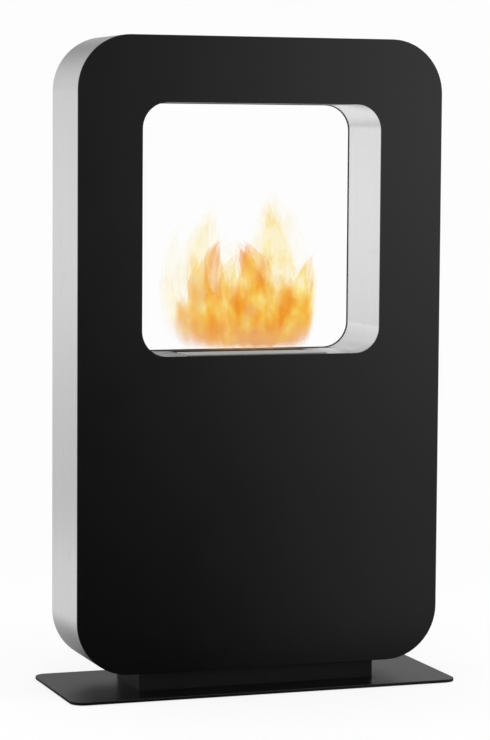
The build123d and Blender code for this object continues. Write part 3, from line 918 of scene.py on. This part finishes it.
def floor_mirror_level(tree, place):
    """How bright the floor is in mirrors. In front it is dark in the middle and brighter to both sides.
    Behind it is pale, brightest near the cabinet, far off, and on the right in between. It darkens all
    round the base plate, where the plate shades it."""
    x, y, _ = tree.split(place)
    across = (x + 0.27 * y + 0.31) / (0.58 - 0.16 * y)
    front = tree.fade(across, 0.1, 1.1, 0.02, 0.60) * tree.fade(y, -0.5, -6.0, 0.75, 1.1)
    front = front + tree.fade(across, -0.4, -1.1, 0.0, 0.62)
    behind = 0.66 + tree.fade(y, 4.5, 12.0, 0.0, 0.33) + tree.fade(y, 2.1, 1.2, 0.0, 0.22)
    right_of_band = x + 0.28 * y + 0.3
    between = tree.fade(y, 1.3, 1.9) * tree.fade(y, 12.0, 4.5)
    behind = behind + 0.34 * tree.fade(right_of_band, 0.1, 0.45) * between
    past_x = tree.most(tree.size_of(x) - base_high.x, 0.0)
    past_y = tree.most(tree.size_of(y) - base_high.y, 0.0)
    from_plate = (past_x ** 2.0 + past_y ** 2.0) ** 0.5
    contact = tree.fade(from_plate, 0.0, CONTACT_REACH, CONTACT_LEVEL, 1.0)
    return (tree.fade(y, -0.2, 0.2) * (behind - front) + front) * contact


def floor_finish(studio):
    """Pale floor: white to the camera, with its own shading mixed in near the object for the shadow.
    Mirrors see it as bright as floor_mirror_level says."""
    material = bpy.data.materials.new("studio_floor")
    material.use_nodes = True
    tree = Tree(material.node_tree)
    place = tree.place()
    from_middle = tree.add("ShaderNodeVectorMath", {"operation": "LENGTH"}, {0: place}, output="Value")
    near = tree.fade(from_middle, SHADING_FAR, SHADING_NEAR) * studio.shadow_share
    pale = tree.add("ShaderNodeBsdfDiffuse", {}, {"Color": PALE_FLOOR})
    white = tree.add("ShaderNodeEmission", {}, {"Color": WHITE, "Strength": studio.background})
    seen = tree.add("ShaderNodeMixShader", {}, {0: near, 1: white, 2: pale})
    level = floor_mirror_level(tree, place)
    mirrored = tree.add("ShaderNodeEmission", {}, {"Color": WHITE, "Strength": level})
    glossy = tree.add("ShaderNodeLightPath", output="Is Glossy Ray")
    unseen = tree.add("ShaderNodeMixShader", {}, {0: glossy, 1: pale, 2: mirrored})
    tree.add("ShaderNodeOutputMaterial", {}, {"Surface": camera_only(tree, seen, unseen)})
    material.cycles.emission_sampling = "NONE"
    return material


def card_glow(studio):
    """Even white glow of the reflector card, which only mirrors see."""
    material = bpy.data.materials.new("reflector_card")
    material.use_nodes = True
    tree = Tree(material.node_tree)
    glow = tree.add("ShaderNodeEmission", {}, {"Color": WHITE, "Strength": studio.card_level})
    tree.add("ShaderNodeOutputMaterial", {}, {"Surface": glow})
    material.cycles.emission_sampling = "NONE"
    return material


def reflector_card(work):
    """Upright card behind the cabinet, where the window's lower right bend mirrors it."""
    outline = ((CARD_STEM, CARD_LOW), (CARD_RIGHT, CARD_LOW), (CARD_RIGHT, CARD_HIGH),
               (CARD_LEFT, CARD_HIGH), (CARD_LEFT, CARD_ARM), (CARD_STEM, CARD_ARM))
    work.faces.new([work.verts.new((x, CARD_Y, z)) for x, z in outline])


def floor_sheet(work):
    """A level sheet round the object."""
    bmesh.ops.create_grid(work, x_segments=FLOOR_CELLS, y_segments=FLOOR_CELLS, size=FLOOR_HALF)


def hang_lamp(power):
    """A large soft lamp overhead, a little in front, that mirrors don't see."""
    data = bpy.data.lights.new("overhead_lamp", "AREA")
    data.shape = "SQUARE"
    data.size = LAMP_WIDTH
    data.energy = power
    lamp = bpy.data.objects.new("overhead_lamp", data)
    lamp.location = LAMP_PLACE
    lamp.rotation_euler = (LAMP_AIM - LAMP_PLACE).to_track_quat("-Z", "Y").to_euler()
    lamp.visible_glossy = False
    bpy.context.scene.collection.objects.link(lamp)


def stand_camera(studio):
    """The camera that shows the fireplace as the photo does."""
    data = bpy.data.cameras.new("photo_camera")
    data.lens = studio.lens
    data.sensor_width = SENSOR_WIDTH
    data.sensor_fit = "AUTO"
    data.clip_end = SIGHT_END
    camera = bpy.data.objects.new("photo_camera", data)
    camera.matrix_world = camera_matrix(studio)
    bpy.context.scene.collection.objects.link(camera)
    bpy.context.scene.camera = camera


# Operators

class FIREPLACE_OT_coat_cabinet(bpy.types.Operator):
    """Give the panels, plinth and base plate their black coat"""
    bl_idname = "fireplace.coat_cabinet"
    bl_label = "Coat cabinet"

    def execute(self, context):
        settings = context.scene.fireplace_finish
        # The base plate's coat is a darker copy, painted shade, and the plinth's a far paler one,
        # painted light
        for nodes, name, gloss, painted_light_scale, matt in (
                (COATED, "panel_powder_coat", 1.5, 1.0, 1.0),
                (("base_plate",), "base_coat_painted_shade", 1.5, 0.6, 1.55),
                (("plinth",), "plinth_coat_painted_light", 1.12, 6.5, 1.2)):
            coat(nodes, black_coat(name, settings, gloss, painted_light_scale, matt))
        coat(("floor_pads",), pad_rubber())
        return {"FINISHED"}


class FIREPLACE_OT_brush_shell(bpy.types.Operator):
    """Give the outer band and the window liner their brushed steel"""
    bl_idname = "fireplace.brush_shell"
    bl_label = "Brush shell"

    def execute(self, context):
        settings = context.scene.fireplace_finish
        band = brushed_steel("band_brushed_steel", settings.band_colour, roughness=0.26)
        liner = brushed_steel("liner_brushed_steel", settings.liner_colour, roughness=0.25,
                              painted_shade_map=liner_painted_shade)
        coat(("outer_band",), band)
        coat(("window_liner",), liner)
        return {"FINISHED"}


class FIREPLACE_OT_finish_burner(bpy.types.Operator):
    """Give the burner, its shutter, screen and cradle their heated steel"""
    bl_idname = "fireplace.finish_burner"
    bl_label = "Finish burner"

    def execute(self, context):
        settings = context.scene.fireplace_finish
        burner = burner_steel("burner_satin_steel", settings, roughness=0.28, tint_scale=0.84,
                              heat_share=0.95)
        shutter = burner_steel("shutter_satin_steel", settings, roughness=0.42, tint_scale=0.96,
                               heat_share=0.85)
        coat(BURNER_PIECES, burner)
        coat(("shutter_plate",), shutter)
        coat(("wool_screen",), screen_steel(settings))
        return {"FINISHED"}


class FIREPLACE_OT_finish_frame(bpy.types.Operator):
    """Give the inner frame its zinc, and the board under the burner its fibre"""
    bl_idname = "fireplace.finish_frame"
    bl_label = "Finish frame"

    def execute(self, context):
        settings = context.scene.fireplace_finish
        coat(FRAME_PIECES, galvanised(settings))
        coat(("insulation_board",), ceramic_fibre(settings, "pressed_fibre_board", BOARD_STRANDS))
        return {"FINISHED"}


class FIREPLACE_OT_plate_fasteners(bpy.types.Operator):
    """Give bolts, nuts, washers, studs and screws their plating"""
    bl_idname = "fireplace.plate_fasteners"
    bl_label = "Plate fasteners"

    def execute(self, context):
        coat(ZINC_FASTENERS, zinc_plate(context.scene.fireplace_finish))
        coat(BLACK_FASTENERS, black_oxide())
        return {"FINISHED"}


class FIREPLACE_OT_fill_wool(bpy.types.Operator):
    """Fill the tank with ceramic wool"""
    bl_idname = "fireplace.fill_wool"
    bl_label = "Fill wool"

    def execute(self, context):
        wool = new_piece("wool_filling", wool_block)
        settings = context.scene.fireplace_finish
        scorched_from = wool_high.z - SCORCH_DEPTH
        fibre = ceramic_fibre(settings, "loose_ceramic_wool", WOOL_STRANDS, scorched_from)
        wool.data.materials.append(fibre)
        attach(wool, "burner")
        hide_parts("ceramic_wool")
        return {"FINISHED"}


class FIREPLACE_OT_light_flame(bpy.types.Operator):
    """Raise the flame from the slot"""
    bl_idname = "fireplace.light_flame"
    bl_label = "Light flame"

    def execute(self, context):
        settings = context.scene.fireplace_flame
        flame = new_piece("flame", lambda work: flame_body(work, settings))
        flame.data.materials.append(flame_light(settings))
        flame.visible_shadow = False
        flame.visible_glossy = False
        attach(flame, "burner")
        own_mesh(flame)
        return {"FINISHED"}


class FIREPLACE_OT_set_studio(bpy.types.Operator):
    """Lay the floor, put up the reflector card, hang the lamp and stand the camera"""
    bl_idname = "fireplace.set_studio"
    bl_label = "Set studio"

    def execute(self, context):
        scene = context.scene
        studio = scene.fireplace_studio
        scene.view_settings.view_transform = "Standard"
        scene.world = studio_world(studio)
        scene.cycles.transparent_max_bounces = SEE_THROUGH_LAYERS

        floor = new_piece("studio_floor", floor_sheet)
        floor.data.materials.append(floor_finish(studio))

        card = new_piece("reflector_card", reflector_card)
        card.data.materials.append(card_glow(studio))
        card.visible_camera = False
        card.visible_diffuse = False
        card.visible_shadow = False

        hang_lamp(studio.lamp_power)
        stand_camera(studio)
        return {"FINISHED"}


class FIREPLACE_PT_panel(bpy.types.Panel):
    """Buttons and settings for the fireplace"""
    bl_idname = "FIREPLACE_PT_panel"
    bl_label = "Fireplace"
    bl_space_type = "VIEW_3D"
    bl_region_type = "UI"
    bl_category = "Fireplace"

    def draw(self, context):
        for operator in OPERATORS:
            self.layout.operator(operator.bl_idname)
        for name in GROUPS:
            settings = getattr(context.scene, name)
            box = self.layout.box()
            for key in type(settings).__annotations__:
                box.prop(settings, key)


OPERATORS = (FIREPLACE_OT_coat_cabinet, FIREPLACE_OT_brush_shell, FIREPLACE_OT_finish_burner,
             FIREPLACE_OT_finish_frame, FIREPLACE_OT_plate_fasteners, FIREPLACE_OT_fill_wool,
             FIREPLACE_OT_light_flame, FIREPLACE_OT_set_studio)
GROUPS = {"fireplace_finish": FinishSettings, "fireplace_flame": FlameSettings,
          "fireplace_studio": StudioSettings}


def register():
    """Adds the settings, the buttons and the panel."""
    for group in GROUPS.values():
        bpy.utils.register_class(group)
    for item in (*OPERATORS, FIREPLACE_PT_panel):
        bpy.utils.register_class(item)
    for name, group in GROUPS.items():
        setattr(bpy.types.Scene, name, bpy.props.PointerProperty(type=group))


def unregister():
    """Takes them away again."""
    for name in GROUPS:
        delattr(bpy.types.Scene, name)
    for item in (FIREPLACE_PT_panel, *reversed(OPERATORS)):
        bpy.utils.unregister_class(item)
    for group in reversed(GROUPS.values()):
        bpy.utils.unregister_class(group)


def main():
    """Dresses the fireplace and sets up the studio."""
    register()
    bpy.ops.fireplace.coat_cabinet()
    bpy.ops.fireplace.brush_shell()
    bpy.ops.fireplace.finish_burner()
    bpy.ops.fireplace.finish_frame()
    bpy.ops.fireplace.plate_fasteners()
    bpy.ops.fireplace.fill_wool()
    bpy.ops.fireplace.light_flame()
    bpy.ops.fireplace.set_studio()


if __name__ == "__main__":
    main()
